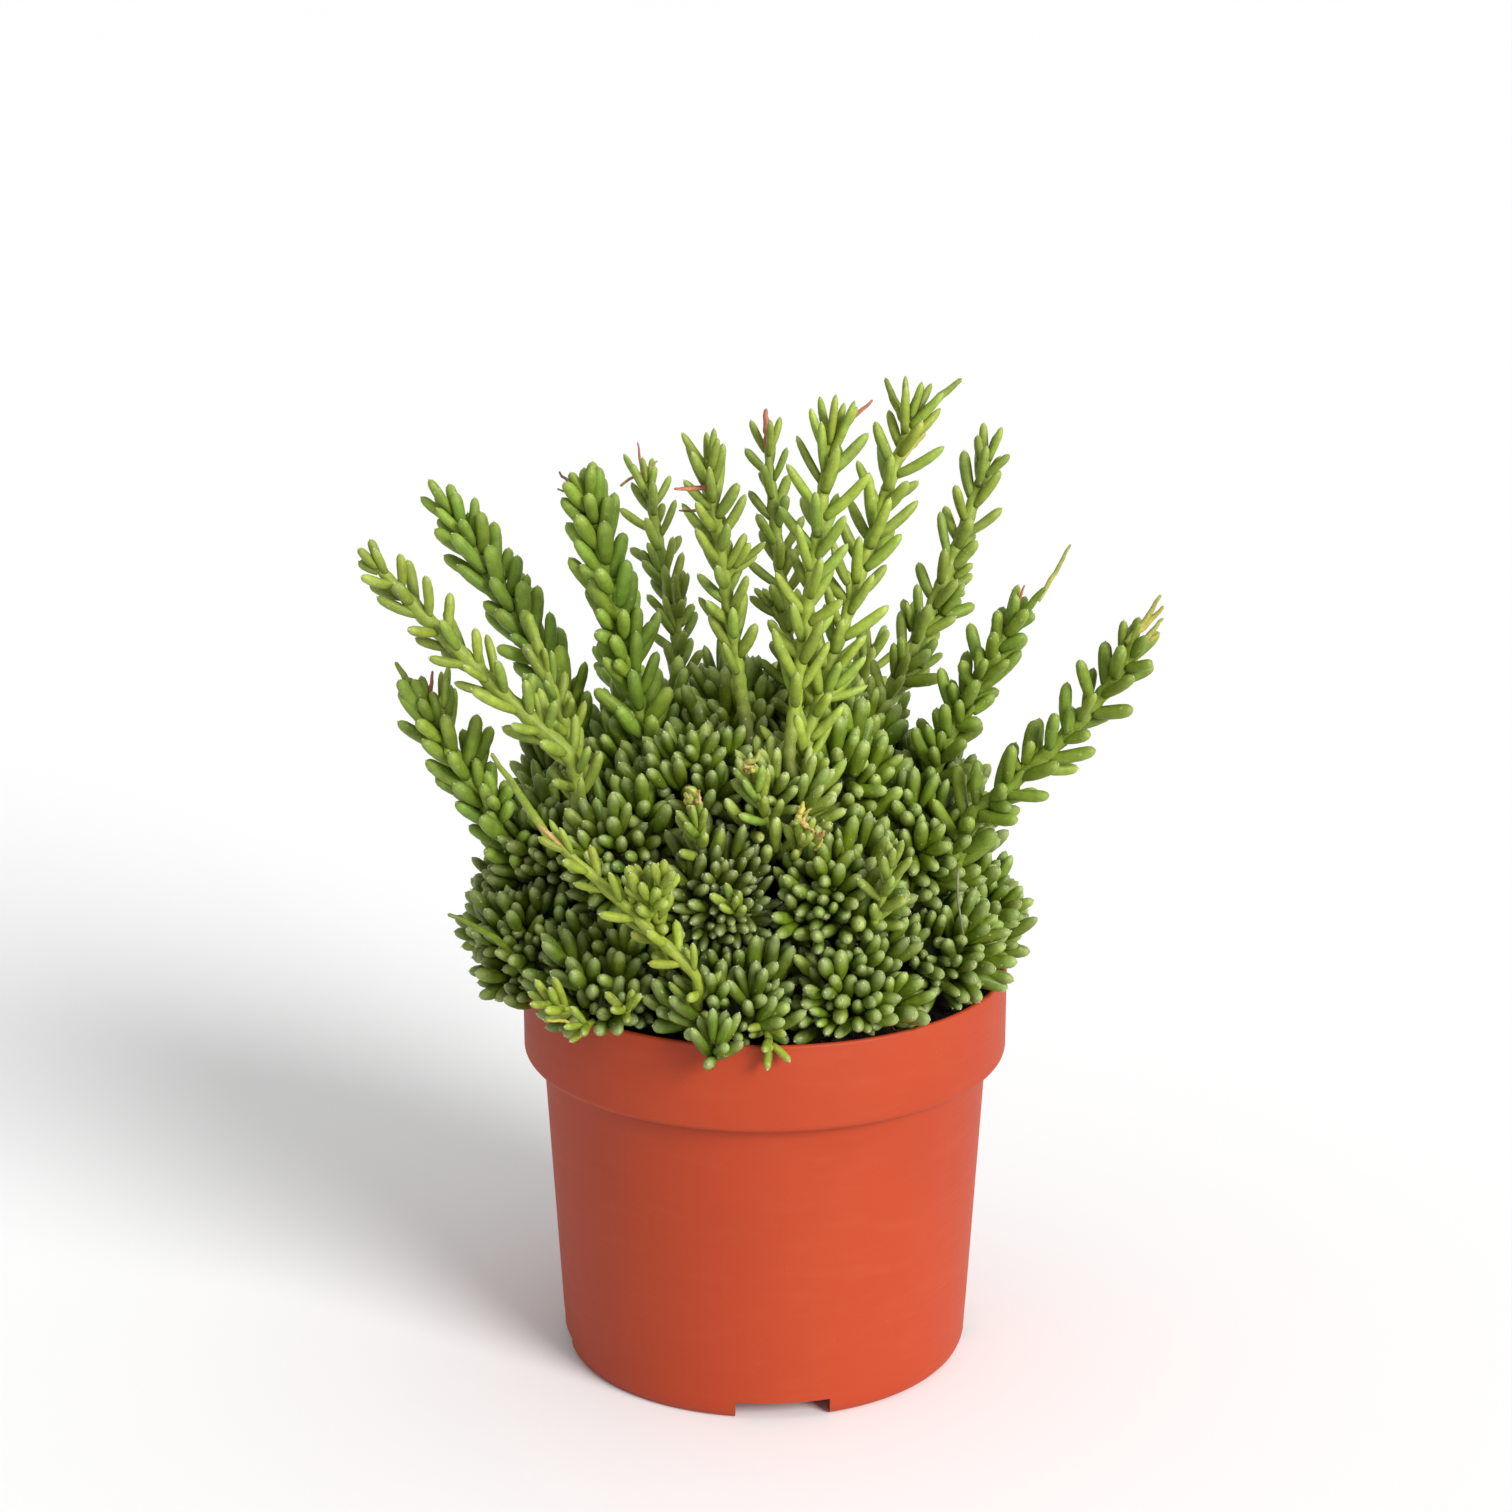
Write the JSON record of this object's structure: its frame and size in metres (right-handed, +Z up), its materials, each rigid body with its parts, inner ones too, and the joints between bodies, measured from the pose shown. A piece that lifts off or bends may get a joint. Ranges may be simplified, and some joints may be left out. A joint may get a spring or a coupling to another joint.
{
  "type": "potted rhipsalis",
  "caption": "Small cushion-forming jungle cactus with upright leafy shoots, growing in a plain round plastic nursery pot.",
  "frame": {"origin": "on the surface the pot stands on, under the middle of the whole object", "axes": "+Z up out of the pot, the longest extent; the plant's front faces -Y"},
  "size_m": [0.1885, 0.1451, 0.2473],
  "materials": {
    "pot_plastic": "satin terracotta-coloured moulded plastic",
    "potting_mix": "dark fibrous peat",
    "cushion_green": "waxy deep green skin with small pale areoles",
    "shoot_green": "waxy fresh green skin, paler towards the tips",
    "sprig_green": "waxy yellow-green skin of young growth"
  },
  "bodies": {
    "root": {"head_crown": "cushion_green", "head_high_01": "cushion_green", "head_high_02": "cushion_green", "head_high_03": "cushion_green", "head_high_04": "cushion_green", "head_high_05": "cushion_green", "head_high_06": "cushion_green", "head_low_01": "cushion_green", "head_low_02": "cushion_green", "head_low_03": "cushion_green", "head_low_04": "cushion_green", "head_low_05": "cushion_green", "head_low_06": "cushion_green", "head_low_07": "cushion_green", "head_low_08": "cushion_green", "head_low_09": "cushion_green", "head_low_10": "cushion_green", "head_low_11": "cushion_green", "head_mid_01": "cushion_green", "head_mid_02": "cushion_green", "head_mid_03": "cushion_green", "head_mid_04": "cushion_green", "head_mid_05": "cushion_green", "head_mid_06": "cushion_green", "head_mid_07": "cushion_green", "head_mid_08": "cushion_green", "head_mid_09": "cushion_green", "head_mid_10": "cushion_green", "pot": "pot_plastic", "shoot_back_left": "shoot_green", "shoot_left_bare": "shoot_green", "shoot_left_inner": "shoot_green", "shoot_left_low": "shoot_green", "shoot_left_outer": "shoot_green", "shoot_left_plump": "shoot_green", "shoot_middle_left": "shoot_green", "shoot_middle_right": "shoot_green", "shoot_rear_left": "shoot_green", "shoot_rear_right": "shoot_green", "shoot_right_back": "shoot_green", "shoot_right_outer": "shoot_green", "shoot_right_short": "shoot_green", "shoot_tall_bare": "shoot_green", "shoot_tallest": "shoot_green", "soil": "potting_mix", "sprig_front": "sprig_green", "sprig_rim": "sprig_green", "sprig_rosette": "sprig_green"}
  },
  "joints": []
}
